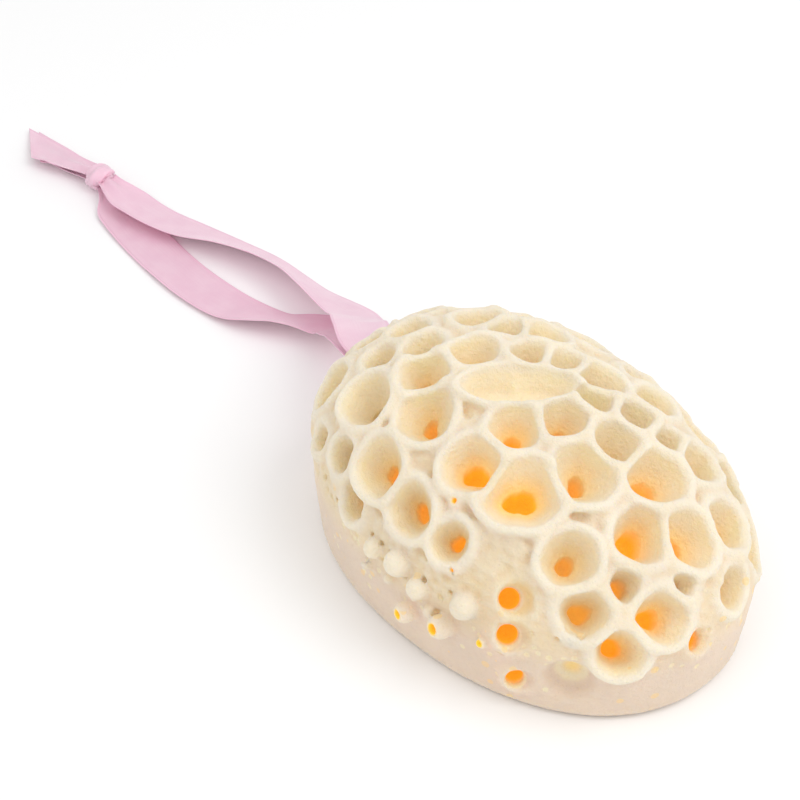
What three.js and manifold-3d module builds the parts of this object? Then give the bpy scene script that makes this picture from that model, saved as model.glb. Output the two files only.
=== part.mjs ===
// A moulded foam bath sponge shaped like a honeycomb sea sponge, with a satin hanging ribbon.
//
// Millimetres, +Z up. The origin is at the middle of the flat underside.
// The sponge's long axis runs along X. The ribbon leaves the end at -X, droops to
// the surface the sponge rests on, and lies on it as far as its knot and its two tails.

import * as THREE from "three";
import { mergeVertices } from "three/addons/utils/BufferGeometryUtils.js";
import Module from "manifold-3d";

const wasm = await Module();
wasm.setup();

// ---------------------------------------------------------------- driving dimensions

// The foam body: an oval base, a short steep wall, and a dome above it.
const HALF_LENGTH = 61.5;
const HALF_WIDTH = 43;
const WALL_HEIGHT = 16.5;
const SKIN_HEIGHT = 55;
const OVAL_POWER = 2.15;
const CROWN_SHIFT = -7.5;
const BASE_INSET = 0.95;
const EDGE_ROUNDING = 1.2;
const BODY_SEGMENTS = 28;

// The cups: flared tubes that stand on the skin, each with a funnel and a narrower bore.
// They stand higher towards the crown, and the bores lean, most of all at the blunt end.
const LOW_RISE = 0.6;
const HIGH_RISE = 4;
const CUP_ROOT = 5;
const RIM_WALL = 1.5;
const FUNNEL_DEPTH = 5.5;
const BORE_DEPTH = 11;
const BORE_SHARE = 0.42;
const CUP_SEGMENTS = 8;
const SMALL_CUP_SEGMENTS = 6;
const SMALL_CUP = 10.5;
const SMALLEST_DETAIL = 1.0;
const BORE_LEAN = new THREE.Vector3(0.35, 0.1, 0.35);
const END_LEAN = 0.6;

// The ribbon: a flat woven strap, doubled, knotted near its ends.
const RIBBON_WIDTH = 15;
const RIBBON_THICKNESS = 0.6;
const GATHERED_WIDTH = 7;
const GATHER_LENGTH = 14;
const RIBBON_STEPS = 30;
const TAIL_STEPS = 12;
const TAIL_SLANT = -16;

// The slit that the ribbon goes into, in the end of the foam.
const SLIT_WIDTH = 17;
const SLIT_HEIGHT = 4.4;
const SLIT_DEPTH = 12;
const SLIT_CENTRE = new THREE.Vector3(-60, 4, 28.6);

// The knot's middle, above the surface that it lies on.
const KNOT_CENTRE = new THREE.Vector3(-206.2, 15.2, 4.3);
const KNOT_RADIUS = 4;

// Each cup: longitude and latitude on the dome in degrees, and the mouth's width.
// Longitude 0 faces +X, the blunt end; -90 faces the front, -Y. Latitude 90 is the crown.
const frontCups = [
  [-147, 32, 11], [-130, 22, 7], [-125, 48, 13], [-115, 29, 8], [-104, 20, 7],
  [-101, 38, 13], [-88, 33, 12], [-74, 31, 9], [-101, 59, 13], [-72, 55, 13],
  [-52, 51, 16], [-39, 36, 12], [-38, 22, 11], [-30, 10, 11], [-24, 30, 7],
];
const bluntEndCups = [
  [-11, 41, 11], [-16, 19, 11], [-6, 27, 5], [3, 35, 11], [-7, 7, 6],
  [10, 15, 9], [22, 29, 11], [9, 50, 12], [34, 41, 10], [-20, 58, 14],
];
const crownCups = [
  [-127, 68, 11], [-160, 78, 10], [90, 79, 8], [-53, 70, 11], [-12, 71, 9],
  [8, 63, 8], [53, 66, 10], [32, 53, 7], [56, 51, 8], [150, 64, 10],
  [122, 68, 8], [-168, 55, 9],
];
// The side away from the front carries the same kind of cups in three rows.
const backRows = [
  { latitude: 13, from: 32, to: 140, count: 7, width: 10 },
  { latitude: 30, from: 44, to: 152, count: 7, width: 11 },
  { latitude: 48, from: 76, to: 146, count: 4, width: 12 },
];
const ribbonEndCups = [[-163, 14, 8], [168, 43, 9], [157, 13, 8]];

// Plain round holes low on the front, and one long shallow pool across the crown.
const plainHoles = [[-59, 22, 5], [-60, 9, 6], [-58, -8, 4.5], [-45, 1, 6]];
const POOL = { longitude: -36, latitude: 83, length: 26, width: 10, depth: 3, bearing: 48 };

// Small closed knobs on the wall: longitude, latitude, width.
const knobs = [[-96, 14, 5], [-89, 16, 6], [-83, 12, 5], [-70, 15, 6], [-87, -2, 5], [-76, 3, 6]];

// ---------------------------------------------------------------- materials

const foam = new THREE.MeshStandardMaterial({ color: 0xf6e6c4, roughness: 0.9, metalness: 0 });
const satin = new THREE.MeshStandardMaterial({ color: 0xf4c6d8, roughness: 0.4, metalness: 0 });
const satinUnder = new THREE.MeshStandardMaterial({ color: 0xefbfd2, roughness: 0.5, metalness: 0 });

// ---------------------------------------------------------------- solids and meshes

function toSolid(geometry) {
  const bare = geometry.clone();
  bare.deleteAttribute("normal");
  bare.deleteAttribute("uv");
  const merged = mergeVertices(bare, 1e-4);
  return new wasm.Manifold(new wasm.Mesh({
    numProp: 3,
    vertProperties: new Float32Array(merged.attributes.position.array),
    triVerts: new Uint32Array(merged.index.array),
  }));
}

function toGeometry(solid) {
  const made = solid.getMesh();
  const geometry = new THREE.BufferGeometry();
  geometry.setAttribute("position", new THREE.BufferAttribute(made.vertProperties.slice(), 3));
  geometry.setIndex(new THREE.BufferAttribute(made.triVerts.slice(), 1));
  geometry.computeVertexNormals();
  return geometry;
}

function named(name, geometry, material) {
  const mesh = new THREE.Mesh(geometry, material);
  mesh.name = name;
  return mesh;
}

// A turned shape about Z from a list of [radius, height], closed on the axis.
function turned(outline, segments) {
  const points = outline.map(([radius, height]) => new THREE.Vector2(radius, height));
  return new THREE.LatheGeometry(points, segments).rotateX(Math.PI / 2);
}

// ---------------------------------------------------------------- the dome's surface

// The oval's own rounded-square plan, at an angle, for a half length and half width of 1.
function ovalPoint(angle) {
  const cosine = Math.cos(angle);
  const sine = Math.sin(angle);
  return new THREE.Vector2(
    Math.sign(cosine) * Math.abs(cosine) ** (2 / OVAL_POWER),
    Math.sign(sine) * Math.abs(sine) ** (2 / OVAL_POWER),
  );
}

// How wide the body is at a height on the wall, as a share of the full oval.
function wallShare(height) {
  return BASE_INSET + (1 - BASE_INSET) * Math.sqrt(height / WALL_HEIGHT);
}

// The skin at a longitude and latitude. A latitude below 0 goes down the wall, 1 mm a degree.
function skinPoint(longitude, latitude) {
  const oval = ovalPoint(THREE.MathUtils.degToRad(longitude));
  if (latitude < 0) {
    const height = WALL_HEIGHT + latitude;
    const share = wallShare(height);
    return new THREE.Vector3(HALF_LENGTH * share * oval.x, HALF_WIDTH * share * oval.y, height);
  }
  const angle = THREE.MathUtils.degToRad(latitude);
  const rise = Math.sin(angle);
  return new THREE.Vector3(
    HALF_LENGTH * Math.cos(angle) * oval.x + CROWN_SHIFT * rise ** 1.5,
    HALF_WIDTH * Math.cos(angle) * oval.y,
    WALL_HEIGHT + (SKIN_HEIGHT - WALL_HEIGHT) * rise,
  );
}

// The direction that faces straight out of the skin.
function skinNormal(longitude, latitude) {
  const east = skinPoint(longitude + 1, latitude).sub(skinPoint(longitude - 1, latitude));
  const north = skinPoint(longitude, latitude + 1).sub(skinPoint(longitude, latitude - 1));
  return east.cross(north).normalize();
}

function foamBlank() {
  const outline = [[0, 0], [BASE_INSET - EDGE_ROUNDING / HALF_WIDTH, 0]];
  for (const height of [EDGE_ROUNDING, 7]) {
    outline.push([wallShare(height), height]);
  }
  for (let latitude = 0; latitude <= 80; latitude += 13) {
    const angle = THREE.MathUtils.degToRad(latitude);
    const rise = Math.sin(angle);
    outline.push([Math.cos(angle), WALL_HEIGHT + (SKIN_HEIGHT - WALL_HEIGHT) * rise]);
  }
  outline.push([0, SKIN_HEIGHT]);
  const blank = turned(outline, BODY_SEGMENTS);
  const places = blank.attributes.position;
  for (let i = 0; i < places.count; i += 1) {
    const share = Math.hypot(places.getX(i), places.getY(i));
    const oval = ovalPoint(Math.atan2(places.getY(i), places.getX(i)));
    const rise = Math.max(0, (places.getZ(i) - WALL_HEIGHT) / (SKIN_HEIGHT - WALL_HEIGHT));
    places.setX(i, HALF_LENGTH * share * oval.x + CROWN_SHIFT * rise ** 1.5);
    places.setY(i, HALF_WIDTH * share * oval.y);
  }
  return toSolid(blank);
}

// Stand a turned shape on the skin. Its rings stay level with the skin, and its middle
// line follows the axis given, so that a bore can lean while its mouth lies on the surface.
function seated(shape, place, normal, axis, bearing = 0) {
  const heading = THREE.MathUtils.degToRad(bearing);
  const sideways = new THREE.Vector3(Math.cos(heading), Math.sin(heading), 0);
  if (bearing === 0) {
    sideways.set(-normal.y, normal.x, 0.001);
  }
  sideways.addScaledVector(normal, -sideways.dot(normal)).normalize();
  const upward = normal.clone().cross(sideways);
  const along = axis.clone().divideScalar(axis.dot(normal));
  const frame = new THREE.Matrix4().makeBasis(sideways, upward, along).setPosition(place);
  return toSolid(shape.applyMatrix4(frame));
}

// The way a bore leans, from the way its mouth faces.
function leaned(normal) {
  const upward = new THREE.Vector3(0, 0, END_LEAN * Math.max(0, normal.x));
  return normal.clone().add(BORE_LEAN).add(upward).normalize();
}

function allCups() {
  const cups = [...frontCups, ...bluntEndCups, ...crownCups, ...ribbonEndCups];
  for (const row of backRows) {
    for (let i = 0; i < row.count; i += 1) {
      const longitude = row.from + ((row.to - row.from) * i) / (row.count - 1);
      const wander = 2.5 * Math.sin(2.4 * i + row.latitude);
      cups.push([longitude, row.latitude + wander, row.width + 0.5 * wander]);
    }
  }
  return cups;
}

// ---------------------------------------------------------------- the sponge

// The largest closed surface of a solid. A pocket shut in between touching cups is solid foam.
function outerSkin(solid) {
  return solid.decompose().reduce((best, piece) => (piece.volume() > best.volume() ? piece : best));
}

function spongeBody() {
  let body = foamBlank();
  const cuts = [];
  for (const [longitude, latitude, width] of allCups()) {
    const place = skinPoint(longitude, latitude);
    const normal = skinNormal(longitude, latitude);
    const mouth = width / 2;
    const root = mouth * 0.72;
    const high = Math.sin(THREE.MathUtils.degToRad(latitude));
    const rise = THREE.MathUtils.lerp(LOW_RISE, HIGH_RISE, Math.max(0, high));
    const sides = width < SMALL_CUP ? SMALL_CUP_SEGMENTS : CUP_SEGMENTS;
    const shank = turned([
      [0, -CUP_ROOT],
      [root, -CUP_ROOT],
      [mouth + RIM_WALL, rise],
      [0, rise],
    ], sides);
    body = body.add(seated(shank, place, normal, normal));
    const bore = turned([
      [0, -BORE_DEPTH],
      [mouth * BORE_SHARE, -BORE_DEPTH],
      [mouth * BORE_SHARE, -FUNNEL_DEPTH],
      [mouth * 1.12, rise + 0.5],
      [0, rise + 0.5],
    ], sides);
    cuts.push(seated(bore, place.clone(), normal, leaned(normal)));
  }
  for (const [longitude, latitude, width] of knobs) {
    const knob = new THREE.SphereGeometry(width / 2, 8, 6);
    const place = skinPoint(longitude, latitude);
    body = body.add(toSolid(knob.translate(place.x, place.y, place.z)));
  }
  for (const [longitude, latitude, width] of plainHoles) {
    const hole = turned([[0, -9], [width * 0.4, -9], [width * 0.55, 1.5], [0, 1.5]], SMALL_CUP_SEGMENTS);
    const normal = skinNormal(longitude, latitude);
    cuts.push(seated(hole, skinPoint(longitude, latitude), normal, leaned(normal)));
  }
  const basin = new THREE.SphereGeometry(1, 16, 8).scale(POOL.length / 2, POOL.width / 2, POOL.depth);
  const poolPlace = skinPoint(POOL.longitude, POOL.latitude);
  const straightUp = new THREE.Vector3(0, 0, 1);
  cuts.push(seated(basin, poolPlace, straightUp, straightUp, POOL.bearing));
  const slit = new THREE.BoxGeometry(SLIT_DEPTH * 2, SLIT_WIDTH, SLIT_HEIGHT);
  slit.translate(SLIT_CENTRE.x, SLIT_CENTRE.y, SLIT_CENTRE.z);
  cuts.push(toSolid(slit));
  for (const cut of cuts) {
    body = body.subtract(cut);
  }
  return toGeometry(outerSkin(body.simplify(SMALLEST_DETAIL)));
}

// ---------------------------------------------------------------- the ribbon

// A strap bent along a route. Each stop is [x, y, height of its lower edge, bank in degrees].
// A bank above 0 lifts the edge on the left of the way it runs.
function ribbonStrap(stops, steps, widthAt, slant = 0) {
  const line = new THREE.CatmullRomCurve3(
    stops.map(([x, y, lift]) => new THREE.Vector3(x, y, lift)), false, "centripetal");
  const banks = new THREE.CatmullRomCurve3(
    stops.map(([x, y, , bank]) => new THREE.Vector3(x, y, bank)), false, "centripetal");
  const length = line.getLength();
  const strap = new THREE.BoxGeometry(1, 1, 1, steps, 2, 1);
  const places = strap.attributes.position;
  for (let i = 0; i < places.count; i += 1) {
    const share = places.getX(i) + 0.5;
    const across = places.getY(i);
    const through = places.getZ(i) * RIBBON_THICKNESS;
    const t = line.getUtoTmapping(share);
    const middle = line.getPoint(t);
    const tangent = line.getTangent(t);
    const bank = THREE.MathUtils.degToRad(banks.getPoint(t).z);
    const width = widthAt(share * length, length);
    const level = new THREE.Vector3(-tangent.y, tangent.x, 0).normalize();
    const upright = tangent.clone().cross(level);
    const flat = level.clone().multiplyScalar(Math.cos(bank)).addScaledVector(upright, Math.sin(bank));
    const face = tangent.clone().cross(flat);
    middle.z += (Math.abs(Math.sin(bank)) * width + RIBBON_THICKNESS) / 2;
    middle.addScaledVector(flat, across * width).addScaledVector(face, through);
    middle.addScaledVector(tangent, slant * across * Math.max(0, share * 2 - 1));
    places.setXYZ(i, middle.x, middle.y, middle.z);
  }
  strap.computeVertexNormals();
  return strap;
}

// Full width along the strand, gathered towards the knot at its far end.
function strandWidth(distance, length) {
  const near = THREE.MathUtils.smoothstep(length - distance, 0, GATHER_LENGTH);
  return THREE.MathUtils.lerp(GATHERED_WIDTH, RIBBON_WIDTH, near);
}

// Gathered at the knot and opening to nearly the full width at the cut end.
function tailWidth(distance) {
  return THREE.MathUtils.lerp(GATHERED_WIDTH, RIBBON_WIDTH - 2, THREE.MathUtils.smoothstep(distance, 0, 20));
}

const upperStrand = ribbonStrap([
  [-54, 4, 28.9, 0],
  [-64, 4.5, 28.3, 0],
  [-78, 12.4, 22.5, 6],
  [-91, 20.8, 12.5, 13],
  [-105, 24.9, 6.2, 26],
  [-117, 26.9, 2.2, 36],
  [-127, 28, 0.5, 40],
  [-139, 27.4, 0.4, 36.5],
  [-152, 24.4, 0.4, 29],
  [-166, 20.5, 0.5, 18],
  [-178.5, 17.2, 0.8, 16],
  [-189, 15.8, 1.6, 13],
  [-197, 15.2, 3.6, 6],
  [-200.8, 15.3, 4.2, 3],
], RIBBON_STEPS, strandWidth);

const lowerStrand = ribbonStrap([
  [-54, 4, 27.2, 0],
  [-64, 4.5, 26.2, 0],
  [-78, 11, 18.5, 0],
  [-90, 17.5, 9.8, 2],
  [-98, 20, 5.2, 8],
  [-106, 17.8, 1.8, 20],
  [-113, 13.2, 0.3, 27],
  [-119, 10.6, 0.2, 20],
  [-128, 8.2, 0.2, 8],
  [-144.5, 6.5, 0.2, 2],
  [-160, 7.2, 0.2, 1],
  [-178, 9.4, 0.2, 0],
  [-190, 11.8, 0.4, 0],
  [-197, 14, 1.4, 0],
  [-200.8, 14.8, 2.2, 0],
], RIBBON_STEPS, strandWidth);

const upperTail = ribbonStrap([
  [-211.6, 15.1, 3.9, 2],
  [-217, 14.6, 2.6, 8],
  [-225.5, 13.4, 1.4, 14],
  [-240, 11.4, 1.2, 8],
], TAIL_STEPS, tailWidth, TAIL_SLANT);

const lowerTail = ribbonStrap([
  [-211.6, 15.1, 2.1, 2],
  [-217, 15, 1, 8],
  [-225.5, 14.6, 0.2, 14],
  [-237.5, 13.2, 0.2, 8],
], TAIL_STEPS, tailWidth, TAIL_SLANT);

// The overhand knot: two wraps of the doubled ribbon crossed over a gathered middle.
function ribbonKnot() {
  const middle = toSolid(new THREE.SphereGeometry(KNOT_RADIUS, 12, 6).scale(1.1, 0.95, 0.85));
  const wrap = new THREE.TorusGeometry(KNOT_RADIUS * 0.68, KNOT_RADIUS * 0.42, 6, 12);
  wrap.scale(1, 1.05, 1.2).rotateY(Math.PI / 2);
  const first = toSolid(wrap.clone().rotateZ(0.5));
  const second = toSolid(wrap.clone().rotateZ(-0.45));
  const knot = middle.add(first).add(second);
  return toGeometry(knot).translate(KNOT_CENTRE.x, KNOT_CENTRE.y, KNOT_CENTRE.z);
}

// ---------------------------------------------------------------- the object

const group = new THREE.Group();
group.add(named("sponge_body", spongeBody(), foam));
group.add(named("ribbon_upper_strand", upperStrand, satin));
group.add(named("ribbon_lower_strand", lowerStrand, satinUnder));
group.add(named("ribbon_knot", ribbonKnot(), satin));
group.add(named("ribbon_upper_tail", upperTail, satin));
group.add(named("ribbon_lower_tail", lowerTail, satinUnder));

export default group;
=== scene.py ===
# %% [markdown]
# # A foam bath sponge with a ribbon loop
# The object is a bath sponge moulded from soft foam in the shape of a natural honeycomb
# sponge: an oval dome on a flat base, covered in flared cups, with a doubled satin ribbon
# that leaves one end and is knotted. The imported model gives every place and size. This
# lesson builds the look of each piece in the same frame: metres, +Z up, the sponge's
# length along X, and the middle of its flat underside at the origin.

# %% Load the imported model
import math

import bmesh
import bpy
import numpy as np
from mathutils import Matrix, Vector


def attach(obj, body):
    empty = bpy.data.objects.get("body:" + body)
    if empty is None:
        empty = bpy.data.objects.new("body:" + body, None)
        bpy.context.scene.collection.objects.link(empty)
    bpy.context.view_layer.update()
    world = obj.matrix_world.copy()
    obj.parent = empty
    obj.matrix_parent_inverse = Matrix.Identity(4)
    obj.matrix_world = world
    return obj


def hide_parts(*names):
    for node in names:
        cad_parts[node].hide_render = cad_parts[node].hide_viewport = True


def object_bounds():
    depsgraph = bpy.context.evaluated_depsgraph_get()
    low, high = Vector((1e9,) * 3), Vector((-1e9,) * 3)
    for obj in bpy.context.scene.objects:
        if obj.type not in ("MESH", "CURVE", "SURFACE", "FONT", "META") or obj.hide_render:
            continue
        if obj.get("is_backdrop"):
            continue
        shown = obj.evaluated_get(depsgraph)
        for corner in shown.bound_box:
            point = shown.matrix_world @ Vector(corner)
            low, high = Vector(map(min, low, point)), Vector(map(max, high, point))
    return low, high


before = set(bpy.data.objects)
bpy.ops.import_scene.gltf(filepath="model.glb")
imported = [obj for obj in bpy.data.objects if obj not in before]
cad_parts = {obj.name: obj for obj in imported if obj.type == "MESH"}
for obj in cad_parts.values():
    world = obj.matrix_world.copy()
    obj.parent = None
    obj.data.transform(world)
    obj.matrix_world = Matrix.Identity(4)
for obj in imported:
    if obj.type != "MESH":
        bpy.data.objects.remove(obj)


def as_lists(corners):
    """Two corners as plain lists of numbers."""
    return [[float(v) for v in corner] for corner in corners]


cad_box = as_lists(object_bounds())
print("packed model, lowest and highest corner:", cad_box)

# %% [markdown]
# ## The camera
# A small thing looks most like itself through a long lens from a little way off, which
# shows hardly any perspective. The camera stands about half a metre away, looks down at
# about 40 degrees, and turns so that the sponge's blunt end comes towards it.

# %% Place the camera
MM = 0.001
CAMERA_AIM = np.array([-44.7, -2.4, 25.0]) * MM
CAMERA_DISTANCE = 520 * MM
CAMERA_BEARING = math.radians(48.6)
CAMERA_HEIGHT = math.radians(40.0)
SENSOR = 36.0
LENS = 91.6


def unit(vectors):
    """Each vector divided by its own length."""
    return vectors / np.maximum(np.linalg.norm(vectors, axis=-1, keepdims=True), 1e-12)


def put(name, data, place, back, right):
    """A camera or lamp at a place. Its own right, up and backward directions become the
    three columns of its matrix, and the fourth column is the place."""
    made = bpy.data.objects.new(name, data)
    bpy.context.scene.collection.objects.link(made)
    matrix = np.eye(4)
    matrix[:3, :3] = np.stack([right, np.cross(back, right), back], axis=1)
    matrix[:3, 3] = place
    made.matrix_world = Matrix(matrix.tolist())
    return made


camera_back = np.array([math.sin(CAMERA_BEARING) * math.cos(CAMERA_HEIGHT),
                        -math.cos(CAMERA_BEARING) * math.cos(CAMERA_HEIGHT),
                        math.sin(CAMERA_HEIGHT)])
camera_right = np.array([math.cos(CAMERA_BEARING), math.sin(CAMERA_BEARING), 0.0])
camera_data = bpy.data.cameras.new("camera")
camera_data.sensor_width = SENSOR
camera_data.lens = LENS
camera_data.clip_start = 0.01
camera_place = CAMERA_AIM + CAMERA_DISTANCE * camera_back
bpy.context.scene.camera = put("camera", camera_data, camera_place, camera_back, camera_right)
print("camera stands at", np.round(camera_place, 3))

# %% [markdown]
# ## Putting numpy surfaces into Blender
# Every new piece here is worked out as whole arrays of points and four-sided faces. One
# helper puts such arrays into a mesh, and another makes the faces of a grid whose rings
# join up into a tube, or into a closed band when the last ring meets the first.

# %% Helpers for meshes


def mesh_piece(name, points, faces, smooth=True):
    """A mesh object at the origin from points in metres and an array of faces."""
    faces = np.asarray(faces, dtype=np.int32)
    sides = faces.shape[1]
    mesh = bpy.data.meshes.new(name)
    mesh.vertices.add(len(points))
    mesh.vertices.foreach_set("co", np.asarray(points, dtype=np.float32).ravel())
    mesh.loops.add(faces.size)
    mesh.loops.foreach_set("vertex_index", faces.ravel())
    mesh.polygons.add(len(faces))
    mesh.polygons.foreach_set("loop_start", np.arange(0, faces.size, sides, dtype=np.int32))
    mesh.polygons.foreach_set("use_smooth", np.full(len(faces), smooth))
    mesh.update(calc_edges=True)
    mesh.validate()
    piece = bpy.data.objects.new(name, mesh)
    bpy.context.scene.collection.objects.link(piece)
    return piece


def tube_faces(rings, around, closed=False):
    """Faces of a tube: each ring closes on itself and joins the next one. When the tube
    is closed, the last ring joins the first."""
    count = rings if closed else rings - 1
    ring, step = np.meshgrid(np.arange(count), np.arange(around), indexing="ij")
    next_ring, next_step = (ring + 1) % rings, (step + 1) % around
    corners = [(ring, step), (ring, next_step), (next_ring, next_step), (next_ring, step)]
    return np.stack([r * around + c for r, c in corners], axis=-1).reshape(-1, 4)


def smooth_step(value, low, high):
    """0 below low, 1 above high, and an S-shaped ramp between them."""
    t = np.clip((value - low) / (high - low), 0.0, 1.0)
    return t * t * (3.0 - 2.0 * t)


# %% [markdown]
# ## The ribbon's route
# The ribbon is one length of 15 mm satin, doubled. Both halves come out of a slit in the
# sponge's end, droop to the surface that the sponge rests on, part into a long loop, and
# meet again in an overhand knot. A flat strap needs more than a line: each stop on the
# route holds a place, the height of the strap's lower edge, and its bank, which is how
# far the strap leans over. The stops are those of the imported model.

# %% The stops, and a smooth line through them
# Sizes are in millimetres, and a stop is x, y, lowest height, and bank in degrees.
RIBBON_WIDTH = 15.0
GATHERED_WIDTH = 7.0
GATHER_LENGTH = 14.0
RIBBON_THICKNESS = 0.32
TAIL_WIDTH = 13.0
TAIL_OPENING = 20.0
TAIL_SLANT = -16.0
KNOT_CENTRE = np.array([-206.2, 15.2, 4.3])

UPPER_STRAND = np.array([
    [-54, 4, 28.9, 0], [-64, 4.5, 28.3, 0], [-78, 12.4, 22.5, 6], [-91, 20.8, 12.5, 13],
    [-105, 24.9, 6.2, 26], [-117, 26.9, 2.2, 36], [-127, 28, 0.5, 40],
    [-139, 27.4, 0.4, 36.5], [-152, 24.4, 0.4, 29], [-166, 20.5, 0.5, 18],
    [-178.5, 17.2, 0.8, 16], [-189, 15.8, 1.6, 13], [-197, 15.2, 3.6, 6],
    [-203, 15.4, 4.4, 0]], dtype=float)
LOWER_STRAND = np.array([
    [-54, 4, 27.2, 0], [-64, 4.5, 26.2, 0], [-78, 11, 18.5, 0], [-90, 17.5, 9.8, 2],
    [-98, 20, 5.2, 8], [-106, 17.8, 1.8, 20], [-113, 13.2, 0.3, 27], [-119, 10.6, 0.2, 20],
    [-128, 8.2, 0.2, 8], [-144.5, 6.5, 0.2, 2], [-160, 7.2, 0.2, 1], [-178, 9.4, 0.2, 0],
    [-190, 11.8, 0.4, 0], [-197, 14, 1.4, 0], [-203, 15.2, 2.6, 0]], dtype=float)
UPPER_TAIL = np.array([
    [-209.7, 15.2, 4.4, 0], [-217, 14.6, 2.6, 8], [-225.5, 13.4, 1.4, 14],
    [-240, 11.4, 1.2, 8]], dtype=float)
LOWER_TAIL = np.array([
    [-209.7, 15.2, 2.6, 0], [-217, 15, 1, 8], [-225.5, 14.6, 0.2, 14],
    [-237.5, 13.2, 0.2, 8]], dtype=float)


def smooth_line(stops, count):
    """Points at even spacing on a Catmull-Rom line through the stops, centripetal kind."""
    padded = np.vstack([2 * stops[0] - stops[1], stops, 2 * stops[-1] - stops[-2]])
    gaps = np.sqrt(np.linalg.norm(np.diff(padded[:, :3], axis=0), axis=1))
    knots = np.concatenate([[0.0], np.cumsum(gaps)])
    fine = np.linspace(knots[1], knots[-2] - 1e-9, 4000)
    i = np.clip(np.searchsorted(knots, fine, side="right") - 1, 1, len(padded) - 3)
    t = fine[:, None]
    k0, k1, k2, k3 = (knots[i + o][:, None] for o in (-1, 0, 1, 2))
    p0, p1, p2, p3 = (padded[i + o] for o in (-1, 0, 1, 2))
    a1 = (k1 - t) / (k1 - k0) * p0 + (t - k0) / (k1 - k0) * p1
    a2 = (k2 - t) / (k2 - k1) * p1 + (t - k1) / (k2 - k1) * p2
    a3 = (k3 - t) / (k3 - k2) * p2 + (t - k2) / (k3 - k2) * p3
    b1 = (k2 - t) / (k2 - k0) * a1 + (t - k0) / (k2 - k0) * a2
    b2 = (k3 - t) / (k3 - k1) * a2 + (t - k1) / (k3 - k1) * a3
    line = (k2 - t) / (k2 - k1) * b1 + (t - k1) / (k2 - k1) * b2
    along = np.concatenate([[0.0], np.cumsum(np.linalg.norm(np.diff(line[:, :3], axis=0), axis=1))])
    even = np.linspace(0.0, along[-1], count)
    spaced = np.stack([np.interp(even, along, line[:, c]) for c in range(line.shape[1])], axis=1)
    return spaced, even


for label, stops in (("upper strand", UPPER_STRAND), ("lower strand", LOWER_STRAND)):
    print(label, "is", round(float(smooth_line(stops, 400)[1][-1]), 1), "mm long")

# %% [markdown]
# ## The ribbon as a surface
# A ribbon could be a flat plane with a thickness modifier, but its woven edge is rounder
# and a touch thicker than its middle. So its cross-section is a thin closed loop, carried
# along the route and turned with the bank. The section cups a little, because satin under
# tension curls across its width, and it narrows where the knot gathers it.

# %% Carry the strap's section along the route
ACROSS = 24
SELVEDGE_PLACE = 0.955
SELVEDGE_SPREAD = 0.025
SELVEDGE_SWELL = 0.35
SECTION_POWER = 0.35
PLEAT_HEIGHT = 1.3
PLEAT_TURN = 5.2
RIPPLE_LENGTH = 6.0
LEAST_HEIGHT = 0.05


def strap_section(thickness):
    """A thin closed loop, 1 wide: two nearly parallel sides with a bead at each edge.

    Going round the loop, the place across is the cosine of the angle, and the height is
    a flattened sine, with a small swelling close to either edge."""
    angle = np.linspace(0.0, 2 * math.pi, 2 * ACROSS, endpoint=False)
    across = np.cos(angle)
    off_edge = (np.abs(across) - SELVEDGE_PLACE) / SELVEDGE_SPREAD
    bead = 1.0 + SELVEDGE_SWELL * np.exp(-off_edge ** 2)
    through = np.sign(np.sin(angle)) * np.abs(np.sin(angle)) ** SECTION_POWER * bead
    return across / 2, through * thickness / 2


def strap(name, stops, count, width_at, slant=0.0, curl=0.5, ripple=0.0):
    """A strap along a route. For each ring the middle line gives a way forward, the level
    direction at right angles to it is turned by the bank, and the section is laid out
    along that direction. The middle curls by a parabola, low ripples run along, and where
    the strap is gathered its section is a cosine of pleats. A slant moves one edge of the
    far half forward. The ring is then lifted until its lowest point is at the stop."""
    line, distance = smooth_line(stops, count)
    middle, length = line[:, :3], distance[-1]
    forward = unit(np.gradient(middle, axis=0))
    level = unit(np.stack([-forward[:, 1], forward[:, 0], 0 * forward[:, 0]], axis=1))
    bank = np.radians(line[:, 3])[:, None]
    flat = level * np.cos(bank) + np.cross(forward, level) * np.sin(bank)
    face = np.cross(forward, flat)
    width = width_at(distance, length)
    section_across, section_through = strap_section(RIBBON_THICKNESS)
    across = section_across[None, :] * width[:, None]
    share = section_across[None, :] * 2
    gather = np.clip(1 - width / RIBBON_WIDTH, 0, 1)[:, None]
    wave = np.sin(distance[:, None] / RIPPLE_LENGTH + 1.7 * share)
    through = section_through[None, :] + curl * (share ** 2 - 0.4) * (1 - gather)
    through = through + gather * PLEAT_HEIGHT * np.cos(share * PLEAT_TURN) * (1 - 0.3 * share ** 2)
    through = through + ripple * wave * (1 - gather)
    lean = slant * share * np.clip(2 * distance / length - 1, 0, 1)[:, None] / 2
    points = (middle[:, None, :] + across[..., None] * flat[:, None, :]
              + through[..., None] * face[:, None, :] + lean[..., None] * forward[:, None, :])
    lowest = points[..., 2].min(axis=1) - middle[:, 2]
    points[..., 2] -= np.minimum(lowest, 0.0)[:, None]
    points[..., 2] = np.maximum(points[..., 2], LEAST_HEIGHT)
    piece = mesh_piece(name, points.reshape(-1, 3) * MM, tube_faces(count, points.shape[1]))
    close_ends(piece)
    cloth_map(piece, distance[:, None], share * RIBBON_WIDTH / 2,
              np.sign(section_through)[None, :])
    return piece, points.mean(axis=1) * MM


def close_ends(piece):
    """Closes a tube's two ends, where it has them, and turns every face outwards."""
    work = bmesh.new()
    work.from_mesh(piece.data)
    open_edges = [edge for edge in work.edges if len(edge.link_faces) < 2]
    if open_edges:
        bmesh.ops.holes_fill(work, edges=open_edges, sides=0)
    bmesh.ops.recalc_face_normals(work, faces=work.faces)
    work.to_mesh(piece.data)
    work.free()


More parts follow.
